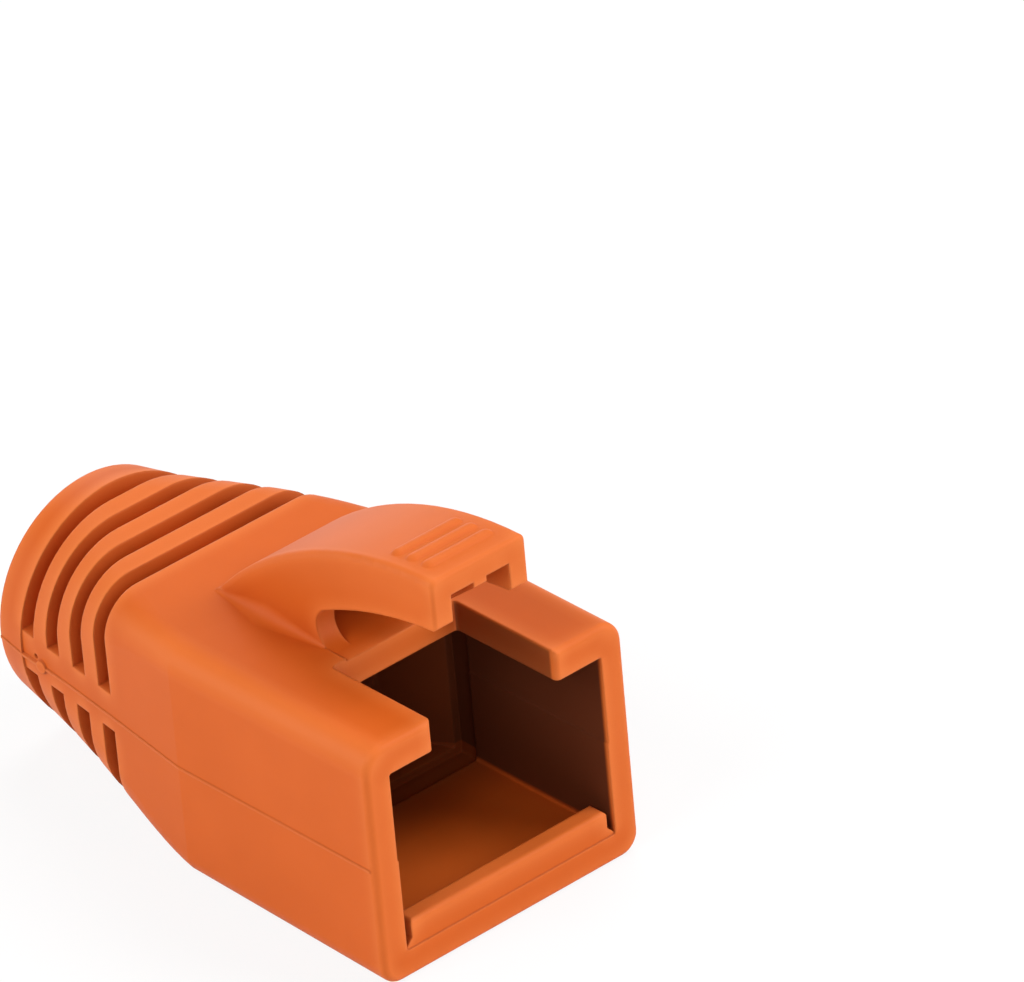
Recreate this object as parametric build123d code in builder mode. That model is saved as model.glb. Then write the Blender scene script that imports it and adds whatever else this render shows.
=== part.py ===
"""Strain relief boot for an RJ45 patch plug: one moulded piece of soft plastic, in millimetres.

X runs from the mouth of the plug socket (x = 0) to the cable end, Y across and Z up, lever on top.
"""

from build123d import *
import os

# Plug and cable that the boot fits
PLUG_WIDTH = 11.68
PLUG_HEIGHT = 8.3
CABLE_DIAMETER = 8.0
PLUG_SIDE_CLEARANCE = 0.06
PLUG_HEADROOM = 0.4
CABLE_CLEARANCE = 0.175

# Box-shaped body around the plug
BODY_WIDTH = 14.3
BODY_HEIGHT = 11.5
BODY_LENGTH = 12.4
FLOOR_THICKNESS = 1.35
FLOOR_RISE = 0.3
TOP_EDGE_RADIUS = 1.15
BOTTOM_EDGE_RADIUS = 0.95
MOUTH_EDGE_RADIUS = 0.3

# Socket for the plug, with a relief groove in front of the funnel to the cable bore
SOCKET_DEPTH = 10.1
SOCKET_CORNER_RADIUS = 0.12
LOWER_CORE_INSET = 0.05
RELIEF_LENGTH = 1.4
RELIEF_DEPTH = 0.35
FUNNEL_LENGTH = 2.6

# Notch in the top wall, which leaves room for the latch of the plug
NOTCH_LENGTH = 6.2
NOTCH_WIDTH = 6.85
NOTCH_REAR_RADIUS = 0.2
RAIL_END_RADIUS = 0.25

# Lip across the floor of the mouth, which snaps behind the body of the plug
LIP_THICKNESS = 1.05
LIP_HEIGHT = 1.25
LIP_SIDE_GAP = 0.42
LIP_RAMP_HEIGHT = 0.45
LIP_SETBACK = 0.06
LIP_EDGE_RADIUS = 0.2

# Ribbed nose and end ring about the axis of the cable
LENGTH = 26.0
AXIS_HEIGHT = 5.92
GROOVE_COUNT = 4
FIRST_GROOVE_X = 17.42
GROOVE_PITCH = 1.965
GROOVE_WIDTH = 0.93
SLEEVE_WALL = 0.63
WEB_BOTTOM = 5.05
WEB_TOP = 6.91
RING_FRONT_RADIUS = 5.7
RING_END_RADIUS = 5.36

# Raised line where the two halves of the mould meet
PARTING_HEIGHT = 5.75
BEAD_HEIGHT = 0.12
BEAD_REACH = 0.035

# Lever that covers the latch, a channel open towards the body
LEVER_WIDTH = 5.2
LEVER_TIP_X = 0.2
LEVER_TIP_HEIGHT = 17.6
LEVER_TOP_RADIUS = 19.7
LEVER_WALL = 1.0
LEVER_EDGE_RADIUS = 0.3
LEVER_TIP_RADIUS = 0.18
LEVER_FOOT_RADIUS = 0.75
LEVER_FOOT_END_RADIUS = 0.1
CHANNEL_STEP = 0.12
CHANNEL_REAR = 10.4

# Underside of the lever and the eye at its rear: heights as shares of the lever's rise above the body,
# the place of the middle as a share of the notch's length, setbacks from the rear edge of the notch
UNDERSIDE_TIP_SHARE = 0.615
UNDERSIDE_MIDDLE_SHARE = 0.495
UNDERSIDE_MIDDLE_PLACE = 0.7
EYE_TOP_SHARE = 0.3
EYE_TOP_SETBACK = 1.27
EYE_REAR_SHARE = 0.156
EYE_REAR_SETBACK = 1.75
EYE_FOOT_SETBACK = 0.8

# Middle rib of the channel, whose nose slopes back from the tip
RIB_THICKNESS = 0.7
RIB_NOSE_DEPTH = 0.25
RIB_NOSE_RUN = 4.0
RIB_NOSE_DROP = 3.0
RIB_REAR = 6.0

# Grip bars across the tip of the lever
GRIP_COUNT = 3
FIRST_GRIP_X = 1.45
GRIP_PITCH = 0.95
GRIP_LENGTH = 3.9
GRIP_RADIUS = 0.42
GRIP_HEIGHT = 0.17

# Gate vestige on the side of the nose
GATE_X = 22.8
GATE_Y = 5.88
GATE_RADIUS = 0.3
GATE_DEPTH = 0.6
PIN_X = 23.25
PIN_Z = 6.05
PIN_RADIUS = 0.12

# Sizes that follow from the ones above
SOCKET_WIDTH = PLUG_WIDTH + 2 * PLUG_SIDE_CLEARANCE
SOCKET_HEIGHT = PLUG_HEIGHT + PLUG_HEADROOM
SOCKET_TOP = FLOOR_THICKNESS + SOCKET_HEIGHT
SOCKET_MIDDLE = FLOOR_THICKNESS + SOCKET_HEIGHT / 2
BORE_RADIUS = CABLE_DIAMETER / 2 + CABLE_CLEARANCE
SLEEVE_RADIUS = BORE_RADIUS + SLEEVE_WALL
GROOVE_END = FIRST_GROOVE_X + (GROOVE_COUNT - 1) * GROOVE_PITCH + GROOVE_WIDTH
LEVER_RISE = LEVER_TIP_HEIGHT - BODY_HEIGHT
ARC_CENTRE_Z = LEVER_TIP_HEIGHT - LEVER_TOP_RADIUS
CHANNEL_FLOOR = BODY_HEIGHT - CHANNEL_STEP
CHANNEL_RADIUS = LEVER_TOP_RADIUS - LEVER_WALL
UNDERSIDE_TIP = (LEVER_TIP_X, BODY_HEIGHT + UNDERSIDE_TIP_SHARE * LEVER_RISE)
UNDERSIDE_MIDDLE = (UNDERSIDE_MIDDLE_PLACE * NOTCH_LENGTH, BODY_HEIGHT + UNDERSIDE_MIDDLE_SHARE * LEVER_RISE)
EYE_TOP = (NOTCH_LENGTH + EYE_TOP_SETBACK, BODY_HEIGHT + EYE_TOP_SHARE * LEVER_RISE)
EYE_REAR = (NOTCH_LENGTH + EYE_REAR_SETBACK, BODY_HEIGHT + EYE_REAR_SHARE * LEVER_RISE)
EYE_FOOT = (NOTCH_LENGTH + EYE_FOOT_SETBACK, CHANNEL_FLOOR)
NOSE_OVERLAP = 0.6
PAST = 1.0

# Sections of the outside: x, half width, bottom, top, bottom corner radius, top corner radius
MOUTH = (0.0, BODY_WIDTH / 2, 0.0, BODY_HEIGHT, BOTTOM_EDGE_RADIUS, TOP_EDGE_RADIUS)
SHOULDER = (BODY_LENGTH, BODY_WIDTH / 2, FLOOR_RISE, BODY_HEIGHT, BOTTOM_EDGE_RADIUS, TOP_EDGE_RADIUS)
HAUNCH = (15.2, 6.75, 0.32, 11.5, 1.7, 1.45)
FIRST_RIB = (18.0, 6.35, 0.34, 11.48, 3.0, 2.2)
SECOND_RIB = (21.1, 5.95, 0.33, 11.5, 4.4, 3.7)
NOSE_END = (GROOVE_END + NOSE_OVERLAP, 5.53, 0.39, 11.45, 5.5, 5.5)


def outside_section(x, half_width, bottom, top, bottom_radius, top_radius):
    """Rectangle at one station, with its own corner radii above and below."""
    with BuildSketch() as outline:
        with Locations((0, (top + bottom) / 2)):
            Rectangle(2 * half_width, top - bottom)
        fillet(outline.vertices().group_by(Axis.Y)[0], bottom_radius)
        fillet(outline.vertices().group_by(Axis.Y)[-1], top_radius)
    return Plane.YZ.offset(x) * outline.sketch


def arc_height(x, radius):
    """Height at x of an arc about the lever's centre of curvature."""
    return ARC_CENTRE_Z + (radius**2 - (x - LEVER_TIP_X) ** 2) ** 0.5


def arc_reach(z, radius):
    """The x where such an arc has come down to the height z."""
    return LEVER_TIP_X + (radius**2 - (z - ARC_CENTRE_Z) ** 2) ** 0.5


# Side outline of the lever: tip face, top arc, ramp, foot in the top wall, eye and underside
ramp_x = arc_reach(BODY_HEIGHT, LEVER_TOP_RADIUS)
crown_x = (LEVER_TIP_X + ramp_x) / 2
foot_z = (BODY_HEIGHT + SOCKET_TOP) / 2
foot_x = (EYE_FOOT[0] + NOTCH_LENGTH) / 2
with BuildSketch(Plane.XZ) as lever_side:
    with BuildLine():
        Line(UNDERSIDE_TIP, (LEVER_TIP_X, LEVER_TIP_HEIGHT))
        ThreePointArc(
            (LEVER_TIP_X, LEVER_TIP_HEIGHT),
            (crown_x, arc_height(crown_x, LEVER_TOP_RADIUS)),
            (ramp_x, BODY_HEIGHT),
        )
        Polyline((ramp_x, BODY_HEIGHT), (ramp_x, foot_z), (foot_x, foot_z), (foot_x, CHANNEL_FLOOR), EYE_FOOT)
        ThreePointArc(EYE_FOOT, EYE_REAR, EYE_TOP)
        ThreePointArc(EYE_TOP, UNDERSIDE_MIDDLE, UNDERSIDE_TIP)
    make_face()

# Lever as a solid bar, its edges rounded along the top and around the tip
with BuildPart() as lever:
    extrude(lever_side.sketch, amount=LEVER_WIDTH / 2, both=True)
    flanks = lever.faces().filter_by(Axis.Y)
    fillet([face.edges().filter_by(GeomType.CIRCLE).sort_by(Axis.Z)[-1] for face in flanks], LEVER_EDGE_RADIUS)
    fillet(lever.faces().sort_by(Axis.X)[0].edges(), LEVER_TIP_RADIUS)

# Hollow curve at the foot of each flank, widest in the middle of it and cut to the side outline
with BuildPart() as lever_foot:
    valley_x = (EYE_REAR[0] + ramp_x) / 2
    for x, radius in (
        (EYE_TOP[0], LEVER_FOOT_END_RADIUS),
        (valley_x, LEVER_FOOT_RADIUS),
        (ramp_x, LEVER_FOOT_END_RADIUS),
    ):
        with BuildSketch(Plane.YZ.offset(x)):
            with BuildLine():
                Polyline(
                    (LEVER_WIDTH / 2, BODY_HEIGHT + radius),
                    (0, BODY_HEIGHT + radius),
                    (0, foot_z),
                    (LEVER_WIDTH / 2 + radius, foot_z),
                    (LEVER_WIDTH / 2 + radius, BODY_HEIGHT),
                )
                RadiusArc(
                    (LEVER_WIDTH / 2, BODY_HEIGHT + radius),
                    (LEVER_WIDTH / 2 + radius, BODY_HEIGHT),
                    -radius,
                )
            make_face()
    loft(ruled=True)
    mirror(about=Plane.XZ)
    extrude(lever_side.sketch, amount=LEVER_WIDTH, both=True, mode=Mode.INTERSECT)

# Pockets of the channel, left and right of a middle rib that only stiffens the tip
channel_top = arc_height(LEVER_TIP_X, CHANNEL_RADIUS)
rib_nose_z = channel_top - RIB_NOSE_DEPTH
with BuildPart() as pockets:
    with BuildSketch(Plane.XZ):
        with BuildLine():
            Polyline(
                (CHANNEL_REAR, arc_height(CHANNEL_REAR, CHANNEL_RADIUS)),
                (CHANNEL_REAR, CHANNEL_FLOOR),
                (-PAST, CHANNEL_FLOOR),
                (-PAST, channel_top),
                (LEVER_TIP_X, channel_top),
            )
            ThreePointArc(
                (LEVER_TIP_X, channel_top),
                (CHANNEL_REAR / 2, arc_height(CHANNEL_REAR / 2, CHANNEL_RADIUS)),
                (CHANNEL_REAR, arc_height(CHANNEL_REAR, CHANNEL_RADIUS)),
            )
        make_face()
    extrude(amount=LEVER_WIDTH / 2 - LEVER_WALL, both=True)
    with BuildSketch(Plane.XZ):
        with BuildLine():
            Polyline(
                (LEVER_TIP_X + RIB_NOSE_RUN, rib_nose_z - RIB_NOSE_DROP),
                (LEVER_TIP_X, rib_nose_z),
                (-2 * PAST, rib_nose_z),
                (-2 * PAST, channel_top + PAST),
                (RIB_REAR, channel_top + PAST),
                (RIB_REAR, rib_nose_z - RIB_NOSE_DROP),
                close=True,
            )
        make_face()
    extrude(amount=RIB_THICKNESS / 2, both=True, mode=Mode.SUBTRACT)

# Grip bar, a capsule that lies across the lever
with BuildPart() as grip_bar:
    with BuildSketch() as capsule:
        SlotOverall(GRIP_LENGTH, 2 * GRIP_RADIUS, rotation=90)
        with Locations((-GRIP_RADIUS, 0)):
            Rectangle(2 * GRIP_RADIUS, GRIP_LENGTH, mode=Mode.SUBTRACT)
    revolve(axis=Axis.Y)

# Grooves of the nose: slabs across it, less the sleeve around the bore and the web at each side
with BuildPart() as grooves:
    for index in range(GROOVE_COUNT):
        with BuildSketch(Plane.YZ.offset(FIRST_GROOVE_X + index * GROOVE_PITCH)):
            with Locations((0, AXIS_HEIGHT)):
                Rectangle(2 * BODY_WIDTH, 2 * BODY_WIDTH)
                Circle(SLEEVE_RADIUS, mode=Mode.SUBTRACT)
            with Locations((0, (WEB_BOTTOM + WEB_TOP) / 2)):
                Rectangle(2 * BODY_WIDTH, WEB_TOP - WEB_BOTTOM, mode=Mode.SUBTRACT)
        extrude(amount=GROOVE_WIDTH)

# Inside of the boot: socket, a little narrower below the parting line, relief groove, funnel and bore
with BuildPart() as inside:
    with BuildSketch(Plane.YZ.offset(-PAST)):
        with Locations((0, SOCKET_MIDDLE)):
            RectangleRounded(SOCKET_WIDTH - 2 * LOWER_CORE_INSET, SOCKET_HEIGHT, SOCKET_CORNER_RADIUS)
        with Locations((0, (PARTING_HEIGHT + SOCKET_TOP) / 2)):
            RectangleRounded(SOCKET_WIDTH, SOCKET_TOP - PARTING_HEIGHT, SOCKET_CORNER_RADIUS)
    extrude(amount=PAST + SOCKET_DEPTH)
    with BuildSketch(Plane.YZ.offset(SOCKET_DEPTH - RELIEF_LENGTH)):
        with Locations((0, SOCKET_MIDDLE)):
            Rectangle(SOCKET_WIDTH + 2 * RELIEF_DEPTH, SOCKET_HEIGHT + 2 * RELIEF_DEPTH)
    extrude(amount=RELIEF_LENGTH)
    with BuildSketch(Plane.YZ.offset(SOCKET_DEPTH)):
        with Locations((0, SOCKET_MIDDLE)):
            Rectangle(SOCKET_WIDTH, SOCKET_HEIGHT)
    with BuildSketch(Plane.YZ.offset(SOCKET_DEPTH + FUNNEL_LENGTH)):
        with Locations((0, AXIS_HEIGHT)):
            Rectangle(2 * BORE_RADIUS, 2 * BORE_RADIUS)
    loft()
    with BuildSketch(Plane.YZ.offset(SOCKET_DEPTH + FUNNEL_LENGTH)):
        with Locations((0, AXIS_HEIGHT)):
            Circle(BORE_RADIUS)
    extrude(amount=LENGTH)

# Lip with a small ramp at the foot of each end, its top edges rounded
lip_reach = SOCKET_WIDTH / 2 - LIP_SIDE_GAP
with BuildPart() as lip:
    with BuildSketch(Plane.YZ.offset(LIP_SETBACK)):
        Polygon(
            (SOCKET_WIDTH / 2, FLOOR_THICKNESS / 2),
            (SOCKET_WIDTH / 2, FLOOR_THICKNESS),
            (lip_reach, FLOOR_THICKNESS + LIP_RAMP_HEIGHT),
            (lip_reach, FLOOR_THICKNESS + LIP_HEIGHT),
            (-lip_reach, FLOOR_THICKNESS + LIP_HEIGHT),
            (-lip_reach, FLOOR_THICKNESS + LIP_RAMP_HEIGHT),
            (-SOCKET_WIDTH / 2, FLOOR_THICKNESS),
            (-SOCKET_WIDTH / 2, FLOOR_THICKNESS / 2),
            align=None,
        )
    extrude(amount=LIP_THICKNESS - LIP_SETBACK)
    fillet(lip.faces().sort_by(Axis.Z)[-1].edges(), LIP_EDGE_RADIUS)

# Bead of the parting line: a thin plate in plan around the boot, a little wider than it
with BuildPart() as bead:
    with BuildSketch(Plane.XY.offset(PARTING_HEIGHT - BEAD_HEIGHT / 2)):
        with BuildLine():
            Polyline(
                (MOUTH_EDGE_RADIUS, 0),
                (MOUTH_EDGE_RADIUS, MOUTH[1] + BEAD_REACH),
                (SHOULDER[0], SHOULDER[1] + BEAD_REACH),
                (HAUNCH[0], HAUNCH[1] + BEAD_REACH),
                (FIRST_RIB[0], FIRST_RIB[1] + BEAD_REACH),
                (SECOND_RIB[0], SECOND_RIB[1] + BEAD_REACH),
                (GROOVE_END, RING_FRONT_RADIUS + BEAD_REACH),
                (LENGTH, RING_END_RADIUS + BEAD_REACH),
                (LENGTH, 0),
                close=True,
            )
        make_face()
        mirror(about=Plane.XZ)
    extrude(amount=BEAD_HEIGHT)

# The boot
with BuildPart() as boot:
    loft([outside_section(*MOUTH), outside_section(*SHOULDER)])
    fillet(boot.faces().sort_by(Axis.X)[0].edges(), MOUTH_EDGE_RADIUS)
    loft([outside_section(*station) for station in (SHOULDER, HAUNCH, FIRST_RIB, SECOND_RIB, NOSE_END)])
    add(grooves.part, mode=Mode.SUBTRACT)

    # End ring, slightly conical
    with BuildSketch(Plane.YZ.offset(GROOVE_END)):
        with Locations((0, AXIS_HEIGHT)):
            Circle(RING_FRONT_RADIUS)
    with BuildSketch(Plane.YZ.offset(LENGTH)):
        with Locations((0, AXIS_HEIGHT)):
            Circle(RING_END_RADIUS)
    loft()

    # Shallow floor of the channel, let into the top of the body
    with BuildSketch(Plane.XY.offset(CHANNEL_FLOOR)):
        with Locations(((NOTCH_LENGTH + EYE_REAR[0]) / 2, 0)):
            Rectangle(EYE_REAR[0] - NOTCH_LENGTH + CHANNEL_STEP, LEVER_WIDTH)
    extrude(amount=PAST, mode=Mode.SUBTRACT)

    # Lever with its soft foot on the top of the body
    add(lever.part)
    add(lever_foot.part)
    add(pockets.part, mode=Mode.SUBTRACT)

    # Grip bars
    for index in range(GRIP_COUNT):
        grip_x = FIRST_GRIP_X + index * GRIP_PITCH
        with Locations((grip_x, 0, arc_height(grip_x, LEVER_TOP_RADIUS) + GRIP_HEIGHT - GRIP_RADIUS)):
            add(grip_bar.part)

    # Parting line, then everything inside
    add(bead.part)
    add(inside.part, mode=Mode.SUBTRACT)

    # Notch between two rails, with rounded corners at its rear and at the mouth
    with BuildSketch(Plane.XY.offset(SOCKET_MIDDLE)) as notch:
        with Locations((-PAST / 2, 0)):
            Rectangle(PAST, BODY_WIDTH + PAST)
        Rectangle(NOTCH_LENGTH, NOTCH_WIDTH, align=(Align.MIN, Align.CENTER))
        rail_ends = notch.vertices().filter_by_position(Axis.X, -PAST / 4, PAST / 4)
        fillet(rail_ends, RAIL_END_RADIUS)
        fillet(notch.vertices().group_by(Axis.X)[-1], NOTCH_REAR_RADIUS)
    extrude(amount=BODY_HEIGHT - SOCKET_MIDDLE + PAST / 2, mode=Mode.SUBTRACT)

    # Lip
    add(lip.part)

    # Gate vestige: a small disc on the web, and a pin mark beside it
    with BuildSketch(Plane.XZ.offset(-GATE_Y)):
        with Locations((GATE_X, PARTING_HEIGHT)):
            Circle(GATE_RADIUS)
    extrude(amount=GATE_DEPTH)
    with BuildSketch(Plane.XZ.offset(-GATE_Y)):
        with Locations((PIN_X, PIN_Z)):
            Circle(PIN_RADIUS)
    extrude(amount=GATE_DEPTH, mode=Mode.SUBTRACT)

# The finished piece, with the frame's origin below its middle
with BuildPart() as strain_relief_boot:
    with Locations((-LENGTH / 2, 0, 0)):
        add(boot.part)

strain_relief_boot.part.label = "strain_relief_boot"

os.makedirs("parts", exist_ok=True)
export_step(strain_relief_boot.part, "parts/strain_relief_boot.step")
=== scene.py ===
"""Strain relief boot on a plain white floor: its moulded plastic, the soft studio light and the camera."""

import math

import bpy
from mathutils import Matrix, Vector


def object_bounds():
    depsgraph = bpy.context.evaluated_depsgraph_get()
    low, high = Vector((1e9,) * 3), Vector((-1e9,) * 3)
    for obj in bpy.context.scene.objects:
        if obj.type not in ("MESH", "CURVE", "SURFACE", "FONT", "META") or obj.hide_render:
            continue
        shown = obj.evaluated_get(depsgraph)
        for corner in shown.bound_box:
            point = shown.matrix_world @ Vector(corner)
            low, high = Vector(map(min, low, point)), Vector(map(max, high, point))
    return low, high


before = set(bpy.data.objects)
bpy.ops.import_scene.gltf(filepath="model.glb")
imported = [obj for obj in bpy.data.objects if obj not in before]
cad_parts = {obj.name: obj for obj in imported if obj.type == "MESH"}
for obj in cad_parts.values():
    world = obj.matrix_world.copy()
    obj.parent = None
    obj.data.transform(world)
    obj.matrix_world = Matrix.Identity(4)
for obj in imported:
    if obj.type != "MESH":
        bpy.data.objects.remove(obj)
cad_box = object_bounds()
MM = 0.001

# Places on the boot in millimetres: x runs from the mouth to the cable end, z goes up from the floor.
MOUTH, CABLE_END = (corner[0] / MM for corner in cad_box)
LEVER_TOP = 17.6
BODY_TOP = 11.5
BODY_HALF_WIDTH = 7.15
LIP_REAR = -11.95
NOTCH_REAR = -6.8
NOTCH_HALF_WIDTH = 3.425
SOCKET_REAR = -2.9
SOCKET_HALF_WIDTH = 5.9
RELIEF_HALF_WIDTH = 6.25
SOCKET_FLOOR = 1.35
SOCKET_ROOF = 10.05
BORE_START = -0.3
BORE_HEIGHT = 5.92
BORE_RADIUS = 4.175

LAMP_DISTANCE = 600.0
LAMP_AIM = (0.0, 0.0, 5.0)


def millimetres(x, y, z):
    """A point of the boot's frame, given in millimetres."""
    return Vector((x, y, z)) * MM


class Shader:
    """A material's node tree, with short calls to add a node and to wire it."""

    def __init__(self, name):
        self.material = bpy.data.materials.new(name)
        self.material.use_nodes = True
        self.tree = self.material.node_tree
        self.tree.nodes.clear()

    def add(self, kind, settings=None, **inputs):
        """One node; a value, or an output of another node, goes to each named input."""
        node = self.tree.nodes.new("ShaderNode" + kind)
        for key, value in (settings or {}).items():
            setattr(node, key, value)
        for key, value in inputs.items():
            socket = node.inputs[key.replace("_", " ")]
            if isinstance(value, bpy.types.NodeSocket):
                self.tree.links.new(value, socket)
            else:
                socket.default_value = value
        return node

    def ramp(self, factor, stops):
        """A colour ramp through stops, each a place from 0 to 1 and a colour."""
        node = self.add("ValToRGB")
        self.tree.links.new(factor, node.inputs["Fac"])
        band = node.color_ramp.elements
        while len(band) < len(stops):
            band.new(0.5)
        for element, (place, colour) in zip(band, stops):
            element.position = place
            element.color = (*colour, 1.0)
        return node.outputs["Color"]

    def mix(self, share, first, second):
        """The colour first, going over to the colour second as share rises from 0 to 1."""
        node = self.add("Mix", {"data_type": "RGBA"}, Factor=share)
        self.tree.links.new(first, node.inputs[6])
        node.inputs[7].default_value = (*second, 1.0)
        return node.outputs[2]

    def step(self, value, start, end, low=0.0, high=1.0):
        """Goes evenly from low, where value is start millimetres, to high, where it is end millimetres."""
        node = self.add("MapRange", Value=value, To_Min=low, To_Max=high)
        node.inputs["From Min"].default_value = start * MM
        node.inputs["From Max"].default_value = end * MM
        return node.outputs["Result"]

    def absolute(self, value):
        """The value without its sign."""
        return self.add("Math", {"operation": "ABSOLUTE"}, Value=value).outputs["Value"]

    def product(self, *values):
        """All the values multiplied together."""
        return self.fold("MULTIPLY", values)

    def largest(self, *values):
        """The largest of the values."""
        return self.fold("MAXIMUM", values)

    def fold(self, operation, values):
        """The values worked together by one operation, each with the result so far."""
        total = values[0]
        for value in values[1:]:
            node = self.add("Math", {"operation": operation})
            self.tree.links.new(total, node.inputs[0])
            self.tree.links.new(value, node.inputs[1])
            total = node.outputs["Value"]
        return total

    def distance(self, vector, point):
        """How far vector is from a fixed point."""
        node = self.add("VectorMath", {"operation": "DISTANCE"})
        self.tree.links.new(vector, node.inputs[0])
        node.inputs[1].default_value = point
        return node.outputs["Value"]

    def occlusion(self, reach, inside):
        """1 where the boot has no other face within reach millimetres, outwards or, if inside, inwards."""
        settings = {"samples": 6, "inside": inside, "only_local": True}
        return self.add("AmbientOcclusion", settings, Distance=reach * MM).outputs["AO"]

    def finish(self, surface):
        """The material, with surface wired to its output."""
        output = self.add("OutputMaterial")
        self.tree.links.new(surface, output.inputs["Surface"])
        return self.material


def boot_plastic():
    """Soft orange plastic with the fine matte grain of a textured mould, its edges rounded a little.
    Its colour has painted highlights at thin walls and edges, on the lever's top and on the shoulders,
    painted shade in hollows, and dark painted shade in the socket and bore."""
    dark_orange = (0.560, 0.099, 0.0095)
    light_orange = (0.590, 0.107, 0.0115)
    # Painted highlight colour.
    highlight_orange = (0.80, 0.22, 0.055)
    # Painted shade colour for hollows.
    hollow_shade_orange = (0.37, 0.038, 0.006)
    # Painted shade colour for the socket and bore.
    shade_brown = (0.105, 0.026, 0.0095)
    edge_radius = 0.16
    grain_height = 0.008

    shader = Shader("boot_plastic")
    place = shader.add("TexCoord").outputs["Object"]
    blotch = shader.add("TexNoise", Vector=place, Scale=260.0, Detail=3.0, Roughness=0.5).outputs["Fac"]
    colour = shader.ramp(blotch, [(0.3, dark_orange), (0.7, light_orange)])
    # Painted highlight: paler colour at thin walls and edges, on the lever's top and on the shoulders.
    colour = shader.mix(painted_highlight_share(shader, place), colour, highlight_orange)
    # Painted shade: deeper colour in grooves, under the lever and in the corners of the socket.
    colour = shader.mix(hollow_shade_share(shader), colour, hollow_shade_orange)
    # Painted shade: dark brown inside the socket, between the rails and in the bore.
    colour = shader.mix(shade_share(shader, place), colour, shade_brown)

    edge = shader.add("Bevel", {"samples": 6}, Radius=edge_radius * MM).outputs["Normal"]
    grain = shader.add("TexNoise", Vector=place, Scale=9000.0, Detail=2.0, Roughness=0.6).outputs["Fac"]
    relief = shader.add("Bump", Height=grain, Normal=edge, Strength=0.25, Distance=grain_height * MM)
    plastic = shader.add(
        "BsdfPrincipled",
        Base_Color=colour,
        Roughness=0.5,
        Specular_IOR_Level=0.13,
        Normal=relief.outputs["Normal"],
    )
    return shader.finish(plastic.outputs["BSDF"])


def painted_highlight_share(shader, place):
    """Share of painted highlight: 0 on thick walls, up to a half at thin walls and edges, less on the lever's
    top and the shoulders.
    """
    thickness_felt = 0.9
    most_on_thin_walls = 0.5
    most_on_lever_top = 0.17
    most_on_shoulders = 0.3

    # Painted highlight at thin walls and edges, found from how solid the boot is within reach.
    solid = shader.occlusion(thickness_felt, inside=True)
    thin = shader.add("MapRange", Value=solid, From_Min=0.95, From_Max=0.45, To_Max=most_on_thin_walls)
    point = shader.add("SeparateXYZ", Vector=place).outputs
    # Painted sheen on the lever's top and painted highlight along the shoulders.
    lever_top = shader.step(point["Z"], LEVER_TOP - 4.1, LEVER_TOP - 1.1, 0.0, most_on_lever_top)
    shoulders = shader.product(
        shader.step(shader.absolute(point["Y"]), BODY_HALF_WIDTH - 1.55, BODY_HALF_WIDTH - 0.65),
        shader.step(point["Z"], BODY_TOP - 1.4, BODY_TOP - 0.6, 0.0, most_on_shoulders),
    )
    return shader.largest(thin.outputs["Result"], lever_top, shoulders)


def hollow_shade_share(shader):
    """Share of painted shade: 0 in the open, up to nearly a half in grooves, under the lever and in the
    corners of the socket.
    """
    distance_felt = 2.5
    most_in_hollows = 0.45

    # Painted shade in hollows, found from how open each place is.
    openness = shader.occlusion(distance_felt, inside=False)
    share = shader.add("MapRange", Value=openness, From_Min=0.85, From_Max=0.4, To_Max=most_in_hollows)
    return share.outputs["Result"]


def shade_share(shader, place):
    """Share of painted shade: 0 outside, 1 on the socket's side walls, less on its rear and floor, between
    the rails and in the bore.
    Each zone is a box, or for the bore a tube, and ends in short steps close to the boot's own faces."""
    rear_share = 0.87
    front_floor_share = 0.1
    rail_share = 0.7
    bore_share = 0.75

    x, y, z = shader.add("SeparateXYZ", Vector=place).outputs
    across = shader.absolute(y)
    above_floor = shader.step(z, SOCKET_FLOOR + 0.01, SOCKET_FLOOR + 0.25)
    along_floor = shader.step(x, MOUTH + 6.0, MOUTH + 12.0, front_floor_share)
    inner = shader.product(
        shader.step(x, BORE_START + 0.1, BORE_START),
        shader.step(x, SOCKET_REAR - 0.05, SOCKET_REAR + 0.05, 1.0, rear_share),
        shader.step(across, RELIEF_HALF_WIDTH + 0.1, RELIEF_HALF_WIDTH + 0.05),
        shader.step(z, SOCKET_ROOF + 0.02, SOCKET_ROOF - 0.01),
        shader.largest(above_floor, along_floor),
    )
    beside_lip = shader.product(
        inner,
        shader.step(x, MOUTH + 0.08, MOUTH + 0.28),
        shader.step(across, SOCKET_HALF_WIDTH - 0.3, SOCKET_HALF_WIDTH - 0.2),
    )
    behind_lip = shader.product(inner, shader.step(x, LIP_REAR + 0.02, LIP_REAR + 0.05))
    between_rails = shader.product(
        shader.step(x, MOUTH + 0.25, MOUTH + 0.4),
        shader.step(x, NOTCH_REAR - 0.03, NOTCH_REAR - 0.06),
        shader.step(across, NOTCH_HALF_WIDTH + 0.035, NOTCH_HALF_WIDTH + 0.005),
        shader.step(z, SOCKET_ROOF - 0.05, SOCKET_ROOF - 0.01),
        shader.step(z, BODY_TOP, BODY_TOP - 0.15, 0.0, rail_share),
    )
    section = shader.add("CombineXYZ", Y=y, Z=z).outputs["Vector"]
    radius = shader.distance(section, millimetres(0, 0, BORE_HEIGHT))
    bore = shader.product(
        shader.step(radius, BORE_RADIUS + 0.125, BORE_RADIUS + 0.075, 0.0, bore_share),
        shader.step(x, BORE_START - 0.05, BORE_START),
        shader.step(x, CABLE_END - 0.1, CABLE_END - 2.0),
    )
    return shader.largest(beside_lip, behind_lip, between_rails, bore)


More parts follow.
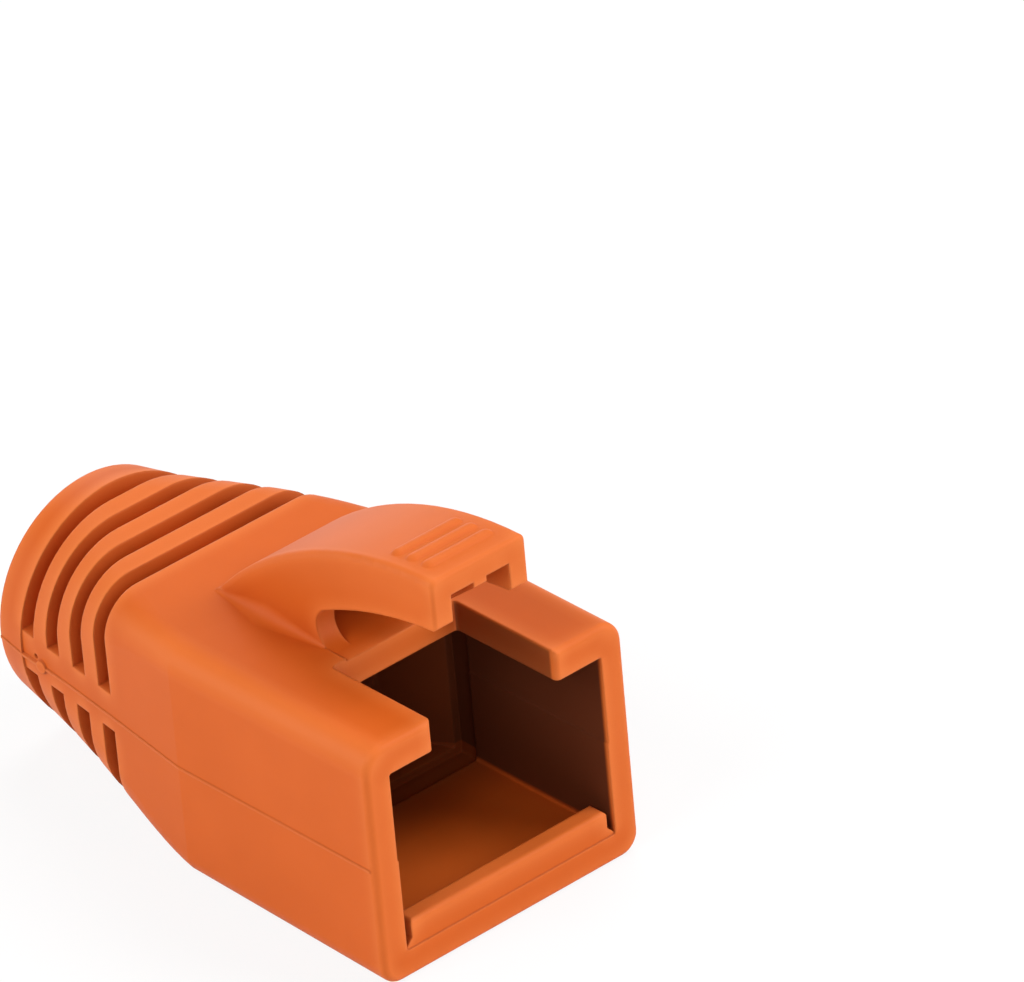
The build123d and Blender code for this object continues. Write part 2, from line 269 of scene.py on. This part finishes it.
def background_rays(tree):
    """1 for rays that show the background: the camera's, and those sent on by glossy or clear surfaces."""
    path = tree.nodes.new("ShaderNodeLightPath")
    seen = path.outputs["Is Camera Ray"]
    for name in ("Is Glossy Ray", "Is Transmission Ray"):
        either = tree.nodes.new("ShaderNodeMath")
        either.operation = "MAXIMUM"
        tree.links.new(seen, either.inputs[0])
        tree.links.new(path.outputs[name], either.inputs[1])
        seen = either.outputs["Value"]
    return seen


def floor_finish(shade):
    """Matte white floor, which the background's rays see as white but for a share of its real shading."""
    shader = Shader("floor_white")
    matte = shader.add("BsdfDiffuse", Color=(0.9, 0.9, 0.9, 1.0)).outputs["BSDF"]
    white = shader.add("Emission", Color=(1.0, 1.0, 1.0, 1.0), Strength=1.0).outputs["Emission"]
    seen = shader.add("MapRange", Value=background_rays(shader.tree), To_Max=1.0 - shade)
    mix = shader.add("MixShader", Fac=seen.outputs["Result"])
    shader.tree.links.new(matte, mix.inputs[1])
    shader.tree.links.new(white, mix.inputs[2])
    return shader.finish(mix.outputs["Shader"])


def studio_floor(half_side):
    """A flat square under the boot, half_side metres from its middle to each side."""
    mesh = bpy.data.meshes.new("floor")
    corners = [(x * half_side, y * half_side, 0) for x, y in ((-1, -1), (1, -1), (1, 1), (-1, 1))]
    mesh.from_pydata(corners, [], [(0, 1, 2, 3)])
    floor = bpy.data.objects.new("floor", mesh)
    bpy.context.scene.collection.objects.link(floor)
    floor.data.materials.append(floor_finish(shade=0.15))


def softbox(name, azimuth, height, side, power):
    """A square lamp that looks at the boot; angles in degrees, side in millimetres, power in watts."""
    lamp = bpy.data.lights.new(name, "AREA")
    lamp.shape = "SQUARE"
    lamp.size = side * MM
    lamp.energy = power
    box = bpy.data.objects.new(name, lamp)
    bpy.context.scene.collection.objects.link(box)
    turn, rise = math.radians(azimuth), math.radians(height)
    towards = Vector((math.cos(rise) * math.cos(turn), math.cos(rise) * math.sin(turn), math.sin(rise)))
    box.location = millimetres(*LAMP_AIM) + towards * LAMP_DISTANCE * MM
    box.rotation_euler = towards.to_track_quat("Z", "Y").to_euler()


def pale_surroundings(level):
    """Pale all round for the background's rays, and for the boot an even light of this level."""
    world = bpy.data.worlds.new("surroundings")
    bpy.context.scene.world = world
    world.use_nodes = True
    tree = world.node_tree
    tree.nodes.clear()
    strength = tree.nodes.new("ShaderNodeMapRange")
    strength.inputs["To Min"].default_value = level
    strength.inputs["To Max"].default_value = 1.0
    tree.links.new(background_rays(tree), strength.inputs["Value"])
    background = tree.nodes.new("ShaderNodeBackground")
    tree.links.new(strength.outputs["Result"], background.inputs["Strength"])
    output = tree.nodes.new("ShaderNodeOutputWorld")
    tree.links.new(background.outputs["Background"], output.inputs["Surface"])


def long_lens_camera(place, aim, roll, lens):
    """The photograph's camera: a long lens at place, aimed at aim, turned by roll about its own axis."""
    data = bpy.data.cameras.new("camera")
    data.sensor_width = 36.0
    data.lens = lens
    data.clip_start = 0.01
    data.clip_end = 20.0
    camera = bpy.data.objects.new("camera", data)
    bpy.context.scene.collection.objects.link(camera)
    camera.location = millimetres(*place)
    back = (camera.location - millimetres(*aim)).normalized()
    upright = Vector((0, 0, 1))
    side = upright.cross(back).normalized()
    up = back.cross(side)
    turn = math.radians(roll)
    up_rolled = up * math.cos(turn) + side * math.sin(turn)
    side_rolled = up_rolled.cross(back)
    matrix = camera.matrix_world.to_3x3()
    matrix.col[0] = side_rolled
    matrix.col[1] = up_rolled
    matrix.col[2] = back
    camera.rotation_euler = matrix.to_euler()
    bpy.context.scene.camera = camera


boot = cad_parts["strain_relief_boot"]
finish = boot_plastic()
for material_slot in boot.material_slots:
    material_slot.material = finish

studio_floor(half_side=1.5)
pale_surroundings(level=0.02)
for name, azimuth, height, side, power in (
    ("left", 45.0, 22.0, 330.0, 1.5),
    ("left high", 92.0, 44.0, 300.0, 1.6),
    ("right", 225.0, 15.0, 260.0, 1.25),
    ("right raised", 225.0, 42.0, 330.0, 2.1),
    ("front", 140.5, 31.0, 300.0, 0.9),
    ("back high", 300.0, 62.0, 300.0, 1.35),
    ("back low", 335.0, 10.0, 260.0, 0.45),
):
    softbox(name, azimuth, height, side, power)
long_lens_camera(place=(-353.761, 278.415, 288.181), aim=(-3.226, -9.998, 12.313), roll=5.224, lens=444.385)

bpy.context.scene.view_settings.view_transform = "Standard"
